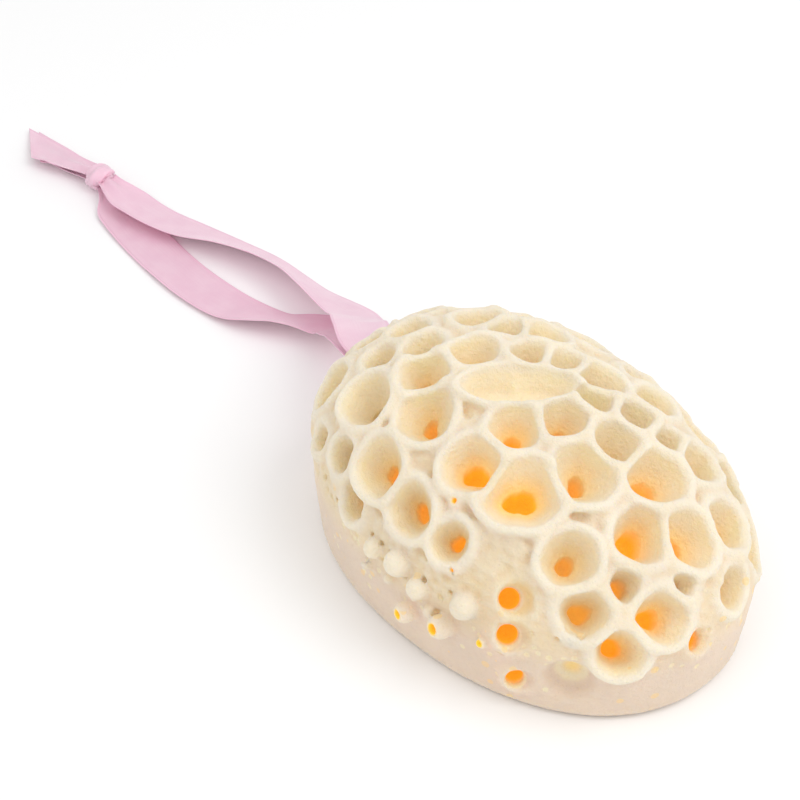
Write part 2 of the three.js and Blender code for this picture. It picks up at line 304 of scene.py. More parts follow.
def cloth_map(piece, along, across, side):
    """A map of the cloth on the points: metres along the ribbon, metres across it, and
    which side of the ribbon the point is on."""
    layout = np.stack(np.broadcast_arrays(along * MM, across * MM, side), axis=-1)
    attribute = piece.data.attributes.new("cloth", "FLOAT_VECTOR", "POINT")
    attribute.data.foreach_set("vector", layout.astype(np.float32).ravel())


def strand_width(distance, length):
    """Full width along the strand, gathered over the last part before the knot."""
    near = smooth_step(length - distance, 0.0, GATHER_LENGTH)
    return GATHERED_WIDTH + (RIBBON_WIDTH - GATHERED_WIDTH) * near


def tail_width(distance, length):
    """Gathered at the knot, opening towards the cut end."""
    return GATHERED_WIDTH + (TAIL_WIDTH - GATHERED_WIDTH) * smooth_step(distance, 0.0, TAIL_OPENING)


STRAND = {"count": 220, "width_at": strand_width, "ripple": 0.12}
TAIL = {"count": 60, "width_at": tail_width, "slant": TAIL_SLANT, "curl": 0.3}
upper_strand, upper_line = strap("ribbon_upper", UPPER_STRAND, **STRAND)
lower_strand, lower_line = strap("ribbon_lower", LOWER_STRAND, **STRAND)
upper_tail, _ = strap("tail_upper", UPPER_TAIL, **TAIL)
lower_tail, _ = strap("tail_lower", LOWER_TAIL, **TAIL)
for piece in (upper_strand, lower_strand, upper_tail, lower_tail):
    print(piece.name, len(piece.data.polygons), "faces")

# %% [markdown]
# ## The knot
# An overhand knot in doubled ribbon is a small tight bundle: a band of gathered satin goes
# round the two strands and crosses itself. It is built as pleated bands, each a closed
# loop round a core. Along a band the middle line is a tilted oval, and across it the
# surface bulges, with pleats that run with the band.

# %% Bands round a core
BAND_RINGS = 72
BAND_AROUND = 28
PLEAT_DEPTH = 0.10
KNOT_STRETCH = np.array([1.08, 0.92])
# Radius, half depth and half width of the section, tilt, turn, how many pleats, phase.
BANDS = [[2.55, 1.5, 2.7, 0.45, 0.35, 5, 0.0], [2.3, 1.6, 2.3, -0.55, -0.5, 4, 1.1],
         [1.3, 1.4, 3.4, 0.1, 0.1, 6, 2.0]]


def band(radius, deep, wide, tilt, turn, pleats, phase):
    """A closed pleated band. The middle line is a ring about X, tilted by tilt and turned
    by turn. The section is an oval, wider along X than it is deep, whose radius is
    waved by the pleats."""
    ring = np.linspace(0, 2 * math.pi, BAND_RINGS, endpoint=False)[:, None]
    section = np.linspace(0, 2 * math.pi, BAND_AROUND, endpoint=False)[None, :]
    wave = 1 + PLEAT_DEPTH * np.cos(pleats * section + phase + 1.3 * np.sin(ring))
    out = radius + deep * wave * np.cos(section)
    x = wide * wave * np.sin(section) + tilt * np.sin(ring + 0.4) * radius
    y = out * np.cos(ring) * KNOT_STRETCH[0]
    z = out * np.sin(ring) * KNOT_STRETCH[1]
    c, s = math.cos(turn), math.sin(turn)
    return np.stack([c * x - s * y, s * x + c * y, z], axis=-1).reshape(-1, 3)


knot_points = np.concatenate([band(*row) for row in BANDS]) + KNOT_CENTRE
knot_points[:, 2] = np.maximum(knot_points[:, 2], 0.1)
one_band = tube_faces(BAND_RINGS, BAND_AROUND, closed=True)
knot_faces = np.concatenate([one_band + i * BAND_RINGS * BAND_AROUND for i in range(len(BANDS))])
knot = mesh_piece("ribbon_knot_bundle", knot_points * MM, knot_faces)
close_ends(knot)
cloth_map(knot, knot_points[:, 1] + knot_points[:, 2], knot_points[:, 0] - KNOT_CENTRE[0], 1.0)
print("knot is", np.round(np.ptp(knot_points, axis=0), 1), "mm")

# %% [markdown]
# ## The sponge's dome
# The foam body has flared cups that hang over the hollows between them, so no function of
# two parameters can give it. It is worked out instead as a field: a number at every point
# of a fine three-dimensional grid, below zero inside the foam. Fields join and cut by
# taking the smaller or the larger number, with a soft version that leaves a fillet, the
# way that a mould maker would blend clay. A skin is then laid where the field is zero.
#
# The dome itself: an oval plan, a short wall, and above it an egg-shaped crown.

# %% The dome's field
HALF_LENGTH = 61.5
HALF_WIDTH = 43.0
WALL_HEIGHT = 16.5
SKIN_HEIGHT = 55.0
OVAL_POWER = 2.15
CROWN_SHIFT = -7.5
BASE_INSET = 0.95
GRAIN = 0.55
LOW = np.array([-72.0, -52.0, -2.0])
HIGH = np.array([72.0, 52.0, 64.0])
LEAST_STEEP = 0.004
AXES = [np.arange(LOW[i], HIGH[i], GRAIN, dtype=np.float32) for i in range(3)]


def oval_point(angle):
    """Where the rounded-square plan lies at an angle, for half sides of 1."""
    cosine, sine = np.cos(angle), np.sin(angle)
    return (np.sign(cosine) * np.abs(cosine) ** (2 / OVAL_POWER),
            np.sign(sine) * np.abs(sine) ** (2 / OVAL_POWER))


def wall_share(height):
    """How wide the body is on its wall, as a share of the full oval."""
    return BASE_INSET + (1 - BASE_INSET) * np.sqrt(np.clip(height / WALL_HEIGHT, 0, 1))


def skin_point(longitude, latitude):
    """A point on the skin, in millimetres. Below latitude 0 it goes down the wall."""
    x, y = oval_point(np.radians(longitude))
    if latitude < 0:
        height = WALL_HEIGHT + latitude
        share = wall_share(height)
        return np.array([HALF_LENGTH * share * x, HALF_WIDTH * share * y, height])
    angle = np.radians(latitude)
    rise = np.sin(angle)
    return np.array([HALF_LENGTH * np.cos(angle) * x + CROWN_SHIFT * rise ** 1.5,
                     HALF_WIDTH * np.cos(angle) * y,
                     WALL_HEIGHT + (SKIN_HEIGHT - WALL_HEIGHT) * rise])


def skin_normal(longitude, latitude):
    """The way straight out of the skin, from its slopes east and north."""
    east = skin_point(longitude + 1, latitude) - skin_point(longitude - 1, latitude)
    north = skin_point(longitude, latitude + 1) - skin_point(longitude, latitude - 1)
    return unit(np.cross(east, north))


def dome_field(x, y, z, grow=0.0):
    """Below zero inside the dome. Above the wall it is an egg: the oval distance from the
    middle line and the rise, added as squares. On the wall it is the oval distance less
    the wall's share. Divided by its own steepness, it is close to millimetres."""
    half_length, half_width = HALF_LENGTH + grow, HALF_WIDTH + grow
    top = SKIN_HEIGHT + grow
    rise = (z - WALL_HEIGHT) / (top - WALL_HEIGHT)
    up = np.clip(rise, 0, None)
    away = (np.abs(x - CROWN_SHIFT * np.minimum(up, 1) ** 1.5) / half_length) ** OVAL_POWER
    away = (away + (np.abs(y) / half_width) ** OVAL_POWER) ** (1 / OVAL_POWER)
    return np.where(rise > 0, np.sqrt(away ** 2 + up ** 2) - 1, away - wall_share(z))


def soft_min(a, b, blend):
    """The smaller of two numbers, rounded off where they are nearly equal."""
    near = np.clip(blend - np.abs(a - b), 0, None) / blend
    return np.minimum(a, b) - near * near * blend * 0.25


def soft_max(a, b, blend):
    """The larger of two numbers, rounded off where they are nearly equal."""
    return -soft_min(-a, -b, blend)


grid_x, grid_y, grid_z = np.meshgrid(*AXES, indexing="ij", sparse=True)
field = dome_field(grid_x, grid_y, grid_z).astype(np.float32)
slopes = np.gradient(field, GRAIN)
steepness = np.sqrt(slopes[0] ** 2 + slopes[1] ** 2 + slopes[2] ** 2)
field = field / np.maximum(steepness, LEAST_STEEP)
del slopes, steepness
print("grid of", field.shape, "=", round(field.size / 1e6, 1), "million points")

# %% [markdown]
# ## Lumps and the flat underside
# Foam that rose in a mould isn't quite even. The foam between the cups stands about two
# millimetres above the plain dome, which is filled out for that. A sum of waves in
# scattered directions adds half a millimetre of lumps to the upper part, and another adds
# finer ones everywhere. A wave in a slanting direction is the product of a wave along X,
# one along Y and one along Z, so the whole grid is filled from three short rows of
# numbers. A low bead round the wall is the line where the mould's two halves met.

# %% Waves, and the flat cut
FILL = 1.9
LUMP_HEIGHT = 0.5
FINE_LUMP_HEIGHT = 0.2
SEAM_HEIGHT = 2.4
SEAM_SPREAD = 0.45
SEAM_PROUD = 0.35
BASE_ROUNDING = 2.2


def waves(count, shortest, longest, seed):
    """A sum of cosines with random directions, lengths and phases, about -1 to 1."""
    draw = np.random.default_rng(seed)
    total = np.zeros(field.shape, dtype=np.float32)
    for _ in range(count):
        way = unit(draw.normal(size=3))
        pitch = 2 * math.pi / draw.uniform(shortest, longest)
        phase = draw.uniform(0, 2 * math.pi)
        rows = [np.exp(1j * pitch * way[i] * AXES[i]).astype(np.complex64) for i in range(3)]
        rows[0] = rows[0] * np.exp(1j * phase).astype(np.complex64)
        plane = rows[0][:, None] * rows[1][None, :]
        total += np.real(plane[:, :, None] * rows[2][None, None, :])
    return total / math.sqrt(count)


upper_part = smooth_step(grid_z, 17.0, 34.0).astype(np.float32)
field -= FILL * upper_part
field += LUMP_HEIGHT * upper_part * waves(9, 5.0, 10.0, seed=3)
field += FINE_LUMP_HEIGHT * (0.25 + upper_part) * waves(10, 2.2, 4.0, seed=5)
seam = np.exp(-((grid_z - SEAM_HEIGHT) / SEAM_SPREAD) ** 2) * SEAM_PROUD
field -= seam.astype(np.float32)
field = soft_max(field, np.broadcast_to(-grid_z, field.shape), BASE_ROUNDING).astype(np.float32)
print("foam before the cups:", round(float((field < 0).sum() * GRAIN ** 3 / 1000)), "millilitres")

# %% [markdown]
# ## Where the cups are
# Each cup is laid out like a place on a globe: longitude round the dome, latitude up it,
# both in degrees. Then come the width of its mouth in millimetres, how far its rim stands
# above its neighbours', how wide its throat is as a share of the mouth, and how much of a
# throat shows: 1 is a deep round bore, 0 a plain bowl. Longitude 0 is the blunt end and
# -90 the front. The far side has the same kind of cups in rows. One long shallow pool
# lies across the crown: it is a cup too, stretched along a bearing and hardly bored.

# %% The cups
FRONT_CUPS = [
    [-147, 32, 12.4, 0, .35, .4], [-130, 23, 7, .2, .4, .5], [-125, 48, 14.3, .5, .3, .3],
    [-116, 30, 8.4, .4, .4, .5], [-105, 22, 9, .2, .45, .7], [-101, 38, 14, 1, .3, .55],
    [-88, 34, 12.4, .8, .34, .6], [-75, 32, 9.3, .8, .42, .7], [-101, 60, 14.5, 0, .3, .55],
    [-72, 55, 14.5, .2, .4, .9], [-52, 52, 17.5, .7, .38, 1], [-39, 37, 12.6, .5, .36, .55],
    [-38, 23, 11.2, .4, .46, .6], [-30, 11, 11.5, .4, .42, .9], [-24, 30, 7.5, -.4, .6, .8]]
BLUNT_END_CUPS = [
    [-11, 41, 13.5, -.3, .5, .7], [-16, 20, 12.6, .3, .4, .8], [-6, 26, 6, 0, .45, 1],
    [3, 35, 14, .2, .34, .75], [10, 16, 9.6, -.3, .4, .7],
    [22, 29, 12.5, 0, .36, .6], [9, 50, 15, -.2, .42, .6], [34, 42, 11.5, 0, .36, .5],
    [-20, 58, 15.5, .2, .3, .55]]
CROWN_CUPS = [
    [-127, 67, 13.5, 0, .36, .5], [-157, 80, 11.5, 0, .34, .5], [93, 82, 9, 0, .4, .6],
    [-53, 69, 12.6, 0, .36, .75], [-12, 71, 11.5, 0, .38, .65], [6, 61, 12, 0, .36, .4],
    [54, 68, 12, 0, .36, .4], [30, 70, 9.5, 0, .38, .4], [34, 60, 9, 0, .4, .4],
    [32, 51, 8, 0, .4, .5], [56, 52, 11, 0, .36, .5], [150, 64, 11.5, -1, .36, .4],
    [131, 72, 9.5, -.6, .36, .4], [104, 68, 11, 0, .36, .4], [-175, 56, 10.5, -1, .4, .4],
    [-157, 66, 10, -1, .36, .4], [-150, 53, 9, -1, .4, .4], [70, 75, 9, 0, .38, .4]]
RIBBON_END_CUPS = [
    [-163, 14, 8.5, .2, .4, .5], [168, 43, 9.5, -.8, .4, .5], [157, 13, 9, 0, .4, .5],
    [-168, 42, 8.5, -.8, .4, .5]]
BACK_ROWS = [(13, 32, 140, 7, 12), (30, 44, 152, 7, 13), (48, 76, 146, 4, 13.5)]
BACK_PROUD = -0.9
BACK_THROAT = 0.38
BACK_BORED = 0.65
POOL_CUP = [-36, 83, 11.5, -.6, .5, .35]
POOL_SHAPE = {"stretch": 2.4, "bearing": 48, "deep": 0.22}


def back_cups():
    """Three rows on the far side: latitude, first and last longitude, how many, width.
    Each cup wanders a little from its row, by a sine of its number."""
    cups = []
    for latitude, first, last, count, width in BACK_ROWS:
        for i in range(count):
            wander = 2.5 * math.sin(2.4 * i + latitude)
            longitude = first + (last - first) * i / (count - 1)
            cups.append([longitude, latitude + wander, width + 0.6 * wander, BACK_PROUD,
                         BACK_THROAT, BACK_BORED + 0.1 * wander])
    return cups


CUPS = FRONT_CUPS + BLUNT_END_CUPS + CROWN_CUPS + RIBBON_END_CUPS + back_cups()
print(len(CUPS), "cups and a pool")

# %% [markdown]
# ## One cup
# A cup is turned like a pot, but its middle line may bend: the mouth lies along the skin,
# while the bore below leans towards the blunt end, the way the mould's pins were drawn.
# For each grid point near it, the cup asks how deep it is below the mouth and how far
# from the bent middle line. From those two numbers come three fields: the outer cone, the
# lip, and the bore. The mouth is a little out of round, and its rim dips and rises. Where
# two cups crowd each other, each stops short of the plane between them, so that they
# share one thin wall with a straight rim, as cells do in a honeycomb.

# %% The cup's fields
LOW_RISE = 0.6
HIGH_RISE = 4.0
LIP_THICKNESS = 2.3
CONE_TAPER = 0.25
SHARED_WALL = 2.0
BORE_DEPTH = 12.5
BORE_NARROWING = 0.8
BOWL_DEPTH = 7.5
BOWL_POWER = 1.15
BORE_LEAN = np.array([0.35, 0.1, 0.35])
END_LEAN = 0.6
BEND_POWER = 1.4


class Cup:
    """One flared cup. It answers, for any points, how far they are from its surfaces."""

    def __init__(self, number, longitude, latitude, width, proud, throat, bored,
                 stretch=1.0, bearing=None, deep=1.0):
        draw = np.random.default_rng(100 + number)
        self.radius = width / 2
        self.normal = skin_normal(longitude, latitude)
        foot = skin_point(longitude, latitude)
        high = max(0.0, math.sin(math.radians(latitude)))
        self.mouth = foot + self.normal * (LOW_RISE + (HIGH_RISE - LOW_RISE) * high + proud)
        upward = np.array([0.0, 0.0, END_LEAN * max(0.0, self.normal[0])])
        lean = unit(self.normal + BORE_LEAN + upward)
        self.bottom = foot - lean * BORE_DEPTH * min(1.0, 0.45 + width / 22) * deep
        self.depth = float(np.dot(self.mouth - self.bottom, self.normal))
        self.bored = bored
        self.drift = (self.bottom - self.mouth) + self.normal * self.depth
        level = [0.3, 0.2, 0.93]
        if bearing is not None:
            turn = math.radians(bearing)
            level = np.cross(self.normal, [math.cos(turn), math.sin(turn), 0.0])
        side = unit(np.cross(self.normal, level))
        self.sides = np.stack([side, np.cross(self.normal, side)])
        self.stretch = stretch
        self.oval = draw.uniform(0.02, 0.08)
        self.corner = draw.uniform(0.01, 0.045)
        self.phases = draw.uniform(0, 2 * math.pi, 4)
        self.dip = draw.uniform(0.1, 0.5)
        self.planes = []
        self.lay_out_bowl(self.radius * throat, draw.uniform(1.15, 1.6))

    def lay_out_bowl(self, throat, shape):
        """The inside as a table: radius and steepness at each depth. Down the bowl the
        radius falls from the mouth's to the throat's, along a curve like a quarter of a
        rounded square, and from there to the bottom it narrows a little more."""
        bowl_depth = min(BOWL_DEPTH, self.depth * 0.6) * min(1.0, 0.4 + self.radius / 10)
        bowl_depth *= 1.3 - 0.3 * self.bored
        steps = np.linspace(0, 1, 160)
        bowl = throat + (self.radius - throat) * (1 - steps ** shape) ** (1 / BOWL_POWER)
        self.table_depth = np.concatenate([steps * bowl_depth, [self.depth]])
        self.table_radius = np.concatenate([bowl, [throat * BORE_NARROWING]])
        slope = np.gradient(self.table_radius, self.table_depth)
        self.table_steep = np.sqrt(1 + np.minimum(slope ** 2, 9.0))

    def meet(self, other):
        """Note the plane that keeps this cup's bowl off a crowding neighbour's."""
        way = other.mouth - self.mouth
        way = way - np.dot(way, self.normal) * self.normal
        apart = float(np.linalg.norm(way))
        if self.stretch > 1 or other.stretch > 1:
            return
        if 0 < apart < self.radius + other.radius + SHARED_WALL:
            share = self.radius / (self.radius + other.radius)
            self.planes.append((way / apart, apart * share - SHARED_WALL / 2))

    def around(self, x, y, z):
        """Depth below the mouth, distance from the bent middle line made as if the mouth
        were round, and the three parts of the way from that line."""
        out = [c - m for c, m in zip((x, y, z), self.mouth)]
        height = sum(o * n for o, n in zip(out, self.normal))
        share = np.clip(-height / self.depth, 0, 1) ** BEND_POWER
        flat = [o - height * n - share * d for o, n, d in zip(out, self.normal, self.drift)]
        across = sum(f * s for f, s in zip(flat, self.sides[0]))
        along = sum(f * s for f, s in zip(flat, self.sides[1]))
        away = np.sqrt(across ** 2 + along ** 2)
        narrowed = np.sqrt((across / self.stretch) ** 2 + along ** 2)
        angle = np.arctan2(along, across)
        shape = (1 + self.oval * np.cos(2 * angle + self.phases[0])
                 + self.corner * np.cos(3 * angle + self.phases[1])
                 + 0.012 * np.cos(7 * angle + self.phases[3]))
        reach = self.radius * shape * away / np.maximum(narrowed, 1e-3)
        dip = self.dip * np.cos(2 * angle + self.phases[2]) + 0.12 * np.cos(5 * angle)
        depth = -height + dip * np.clip(away / self.radius, 0, 1.4)
        return depth, away - reach + self.radius, flat

    def cone(self, depth, away):
        """The outside: widest at the lip, narrowing downwards."""
        outer = self.radius + LIP_THICKNESS * 0.9 - CONE_TAPER * np.clip(depth, 0, 9)
        return soft_max((away - outer) * 0.96, LIP_THICKNESS * 0.5 - depth, 1.0)

    def lip(self, depth, away):
        """A round bead on the rim."""
        half = LIP_THICKNESS / 2
        return np.sqrt((away - self.radius - half) ** 2 + (depth - half) ** 2) - half

    def bore(self, depth, away, flat):
        """The inside: a bowl that narrows to the throat, then a bore with a round end."""
        radius = np.interp(depth, self.table_depth, self.table_radius)
        steep = np.interp(depth, self.table_depth, self.table_steep)
        inside = soft_max((away - radius) / steep, depth - self.depth, 2.0)
        for way, limit in self.planes:
            slack = limit + 0.25 * (radius - self.radius)
            inside = soft_max(inside, sum(f * w for f, w in zip(flat, way)) - slack, 1.6)
        return soft_max(inside, -depth - 3.0, 0.5)

    def span(self):
        """How far from the mouth's middle the cup can change the field."""
        return self.radius * self.stretch + LIP_THICKNESS + 4.0


def block(centre, reach):
    """The part of the grid within reach of a point, as slices, and its coordinates."""
    spans = []
    for axis in range(3):
        first = np.searchsorted(AXES[axis], centre[axis] - reach)
        last = np.searchsorted(AXES[axis], centre[axis] + reach)
        spans.append(slice(int(first), int(last)))
    points = np.meshgrid(*[AXES[i][spans[i]] for i in range(3)], indexing="ij", sparse=True)
    return tuple(spans), points


cups = [Cup(i, *row) for i, row in enumerate(CUPS)]
cups.append(Cup(len(CUPS), *POOL_CUP, **POOL_SHAPE))
for cup in cups:
    for other in cups:
        if other is not cup:
            cup.meet(other)
for cup in cups:
    spans, points = block(cup.mouth - cup.normal * 2, cup.span() + 3)
    depth, away, _ = cup.around(*points)
    body = soft_min(cup.cone(depth, away), cup.lip(depth, away), 0.8)
    field[spans] = soft_min(field[spans], body, 1.8)
for cup in cups:
    spans, points = block((cup.mouth + cup.bottom) / 2, cup.span() + cup.depth / 2)
    field[spans] = soft_max(field[spans], -cup.bore(*cup.around(*points)), 1.0)
print("deepest bore", round(max(cup.depth for cup in cups), 1), "mm")

# %% [markdown]
# ## Knobs, plain holes, pits and the slit
# Low on the front the cups give way to closed knobs, a few of them with a small hole, to
# plain holes, a dimple and many small pits. The ribbon's slit is in the end wall. Each is
# a ball, a rounded rod or a rounded slot, joined to the field or cut from it.

# %% Small features
# Each row starts with longitude, latitude and width. A knob's last number is the radius
# of its hole, and a dimple's is its depth.
KNOBS = [[-95, 13, 5.4, 0], [-88, 15, 7.0, 0], [-82.5, 11, 5.8, 0], [-70, 14, 6.6, 0],
         [-86, -2, 5.6, 1.0], [-76, 2, 6.4, 1.2], [-98, 3, 3.0, 0], [-75, 43, 4.6, 0.6],
         [-80, 4, 3.2, 0], [-84, 6, 2.6, 0], [-66, 3, 3.0, 0.5], [-91, 5, 2.8, 0],
         [-73, 24, 3.6, 0.5]]
PLAIN_HOLES = [[-59, 22, 5.6], [-60, 9, 5.6], [-58, -7, 4.8], [-7, 8, 5.4]]
DIMPLES = [[-44, -3, 12.5, 5.0]]
SLIT_CENTRE = np.array([-60.0, 4.0, 28.6])
SLIT_WIDTH = 17.0
SLIT_HEIGHT = 4.2
SLIT_DEPTH = 12.0
KNOB_LEAN = np.array([-0.25, -0.1, 0.2])
HOLE_LENGTH = 13.0
PIT_COUNT = 130


def ball(points, centre, radius):
    """Distance from a ball."""
    return np.sqrt(sum((c - m) ** 2 for c, m in zip(points, centre))) - radius


def rod(points, start, end, radius):
    """Distance from a rod with round ends."""
    way = end - start
    rel = [c - s for c, s in zip(points, start)]
    share = np.clip(sum(r * w for r, w in zip(rel, way)) / np.dot(way, way), 0, 1)
    return np.sqrt(sum((r - share * w) ** 2 for r, w in zip(rel, way))) - radius


def join(centre, reach, shape, blend):
    """Join a shape to the foam near a point."""
    spans, points = block(centre, reach)
    field[spans] = soft_min(field[spans], shape(points), blend)


def cut(centre, reach, shape, blend):
    """Cut a shape from the foam near a point."""
    spans, points = block(centre, reach)
    field[spans] = soft_max(field[spans], -shape(points), blend)


def skin_frame(longitude, latitude):
    """A place on the skin, and the way straight out of it."""
    return skin_point(longitude, latitude), skin_normal(longitude, latitude)


knob_tips = []
hole_rods = []
for longitude, latitude, width, hole in KNOBS:
    foot, normal = skin_frame(longitude, latitude)
    outward = unit(normal + KNOB_LEAN)
    tip = foot + outward * width * 0.34
    knob_tips.append((tip, width / 2))
    join(tip, width + 4, lambda p: rod(p, foot - outward * 2, tip, width * 0.47), 1.2)
    if hole:
        mouth, inner = tip + outward * width * 0.6, foot + outward * width * 0.1
        hole_rods.append((mouth, inner, hole))
        cut(tip, width + 4, lambda p: rod(p, inner, mouth, hole), 0.6)
for longitude, latitude, width in PLAIN_HOLES:
    foot, normal = skin_frame(longitude, latitude)
    join(foot, width + 3, lambda p: ball(p, foot - normal * width * 0.65, width * 1.15), 1.5)
for longitude, latitude, width in PLAIN_HOLES:
    foot, normal = skin_frame(longitude, latitude)
    lean = unit(normal + BORE_LEAN * 1.4)
    funnel = foot + lean * width * 0.5 + [1.0, 0.5, 0]
    hole_rods.append((foot + lean, foot - lean * HOLE_LENGTH, width / 2))
    cut(foot, HOLE_LENGTH, lambda p: rod(p, foot - lean * 9, foot + lean * 2, width * 0.44), 0.8)
    cut(foot, 9, lambda p: ball(p, funnel, width * 0.72), 1.6)
for longitude, latitude, width, deep in DIMPLES:
    foot, normal = skin_frame(longitude, latitude)
    radius = (width ** 2 / 4 + deep ** 2) / (2 * deep)
    cut(foot, width, lambda p: ball(p, foot + normal * (radius - deep), radius), 2.0)

rng = np.random.default_rng(7)
pits = []
for _ in range(PIT_COUNT):
    longitude = rng.uniform(-118, -40) if rng.uniform() < 0.6 else rng.uniform(-180, 180)
    latitude = rng.uniform(-8, 18)
    radius = rng.uniform(0.45, 0.8)
    foot, normal = skin_frame(longitude, latitude)
    pits.append((foot, radius))
    cut(foot, 3.0, lambda p: rod(p, foot + normal * 0.25, foot + normal, radius), 0.7)


def slit_shape(points):
    """A slot with a rounded section, straight into the end of the sponge."""
    rel = [c - s for c, s in zip(points, SLIT_CENTRE)]
    half = SLIT_HEIGHT / 2
    side = np.maximum(np.abs(rel[1]) - (SLIT_WIDTH / 2 - half), 0)
    return np.maximum(np.sqrt(side ** 2 + rel[2] ** 2) - half, rel[0] - SLIT_DEPTH)


cut(SLIT_CENTRE, SLIT_DEPTH + 2, slit_shape, 0.8)
print(len(KNOBS), "knobs,", len(PLAIN_HOLES), "plain holes and", PIT_COUNT, "pits")

# %% [markdown]
# ## Laying the skin
# The field says where the foam is, and the skin is laid by the method called surface
# nets. Each small cube of the grid that the surface passes through gets one point, at the
# middle of the places where the surface crosses the cube's edges. Each grid edge that the
# surface crosses gets one four-sided face, between the four cubes round it. All of it is
# done with whole arrays. The points are then evened out and pushed onto the surface.

# %% Surface nets
CORNERS = [(i, j, k) for i in (0, 1) for j in (0, 1) for k in (0, 1)]
PUSH_LIMIT = 0.4


def net_points(values):
    """One point for each cube that the surface passes through, and the cubes' numbers."""
    inside = values < 0
    count = np.zeros(tuple(n - 1 for n in values.shape), dtype=np.int8)
    size = count.shape
    for i, j, k in CORNERS:
        count += inside[i:i + size[0], j:j + size[1], k:k + size[2]]
    active = (count > 0) & (count < 8)
    cells = np.argwhere(active)
    numbers = np.full(size, -1, dtype=np.int32)
    numbers[active] = np.arange(len(cells), dtype=np.int32)
    total = np.zeros((len(cells), 3))
    hits = np.zeros(len(cells))
    for axis in range(3):
        step = np.eye(3, dtype=int)[axis]
        for corner in CORNERS:
            if corner[axis]:
                continue
            first = cells + corner
            second = first + step
            a = values[first[:, 0], first[:, 1], first[:, 2]]
            b = values[second[:, 0], second[:, 1], second[:, 2]]
            crosses = (a < 0) != (b < 0)
            share = np.where(crosses, a / np.where(crosses, a - b, 1.0), 0.0)
            total += np.where(crosses[:, None], np.array(corner) + share[:, None] * step, 0.0)
            hits += crosses
    return cells + total / hits[:, None], numbers


def net_faces(values, numbers):
    """One face for each grid edge that the surface crosses, turned to face outwards."""
    inside = values < 0
    faces = []
    for axis in range(3):
        u, v = [(1, 2), (2, 0), (0, 1)][axis]
        low = [slice(None)] * 3
        high = [slice(None)] * 3
        low[axis], high[axis] = slice(0, -1), slice(1, None)
        for other in (u, v):
            low[other] = high[other] = slice(1, -1)
        here, there = inside[tuple(low)], inside[tuple(high)]
        for sign, pick in ((1, here & ~there), (-1, there & ~here)):
            place = np.argwhere(pick)
            place[:, u] += 1
            place[:, v] += 1
            back_u = np.eye(3, dtype=int)[u]
            back_v = np.eye(3, dtype=int)[v]
            ring = [place - back_u - back_v, place - back_v, place, place - back_u]
            quad = np.stack([numbers[r[:, 0], r[:, 1], r[:, 2]] for r in ring], axis=1)
            faces.append(quad if sign > 0 else quad[:, ::-1])
    return np.concatenate(faces)


def sample(values, places):
    """The field and its slope at places given in grid steps, by straight blending."""
    base = np.clip(np.floor(places).astype(int), 0, np.array(values.shape) - 2)
    share = places - base
    value = np.zeros(len(places))
    slope = np.zeros((len(places), 3))
    for i, j, k in CORNERS:
        corner = values[base[:, 0] + i, base[:, 1] + j, base[:, 2] + k]
        wx, wy, wz = np.where([i, j, k], share, 1 - share).T
        value += corner * wx * wy * wz
        slope[:, 0] += corner * (2 * i - 1) * wy * wz
        slope[:, 1] += corner * (2 * j - 1) * wx * wz
        slope[:, 2] += corner * (2 * k - 1) * wx * wy
    return value, slope


def side_ends(faces):
    """The two ends of each face's four sides, as two long rows of point numbers."""
    return faces.T.ravel(), np.roll(faces, -1, axis=1).T.ravel()


def evened(places, faces, rounds):
    """Move points halfway to the middle of their neighbours, then back to the surface,
    by steps of the field's value over its slope."""
    first, second = side_ends(faces)
    size = len(places)
    count = np.bincount(first, minlength=size) + np.bincount(second, minlength=size)
    for _ in range(rounds):
        middle = np.stack([(np.bincount(first, places[second, c], size)
                            + np.bincount(second, places[first, c], size)) / count
                           for c in range(3)], axis=1)
        places = places + 0.5 * (middle - places)
        for _ in range(2):
            value, slope = sample(field, places)
            push = value[:, None] * slope / np.maximum((slope ** 2).sum(1, keepdims=True), 0.02)
            places = places - np.clip(push, -PUSH_LIMIT, PUSH_LIMIT)
    return places


places, numbers = net_points(field)
net = net_faces(field, numbers)
print(len(places), "points and", len(net), "faces before loose bits are dropped")

# %% [markdown]
# ## Keeping the one body
# Where three cups lean together the skin can close round a pocket of air, or leave a
# crumb. The sponge is one moulding, so only the largest connected skin is kept. Connected
# points are found by letting every point take the lowest number among its neighbours
# until nothing changes.

# %% The largest connected skin


def connected(count, faces):
    """A label for each point: points with the same label hang together."""
    label = np.arange(count)
    first, second = side_ends(faces)
    while True:
        lowest = np.minimum(label[first], label[second])
        fresh = label.copy()
        np.minimum.at(fresh, first, lowest)
        np.minimum.at(fresh, second, lowest)
        fresh = fresh[fresh]
        fresh = fresh[fresh]
        if np.array_equal(fresh, label):
            return label
        label = fresh


labels = connected(len(places), net)
kept = labels == np.bincount(labels).argmax()
renumber = np.cumsum(kept) - 1
net = renumber[net[kept[net[:, 0]]]]
places = evened(places[kept], net, rounds=3)
skin = places * GRAIN + LOW
skin[:, 2] = np.maximum(skin[:, 2], 0.0)
sponge = mesh_piece("sponge_foam", skin * MM, net)
print("sponge skin has", len(net) * 2, "triangles and is", np.round(np.ptp(skin, axis=0), 1), "mm")

# %% [markdown]
# ## What the foam's painted light follows
# Foam glows where light goes deep into it and comes back, and here that light is painted into
# the colour: rims are painted palest, a painted highlight, the hollows between cups are
# painted yellow, and the throats are painted orange. Three numbers for each point hold that:
# how far the point lies below the rims, how deep it is inside a cup, and how close it is to a
# rim.

# %% Measure depth, throat and rim, the masks of the painted light
ENVELOPE_GROW = 4.0
DEEPEST_HOLLOW = 14.0
DEEPEST_THROAT = 13.0
PLAIN_SHARE = 0.25
RIM_SPREAD = 0.8
RIM_DEPTH = 3.0
# Shares of the painted gold light in the dimple and in the pits.
DIMPLE_GLOW_SHARE = 0.56
PIT_GLOW_SHARE = 0.36


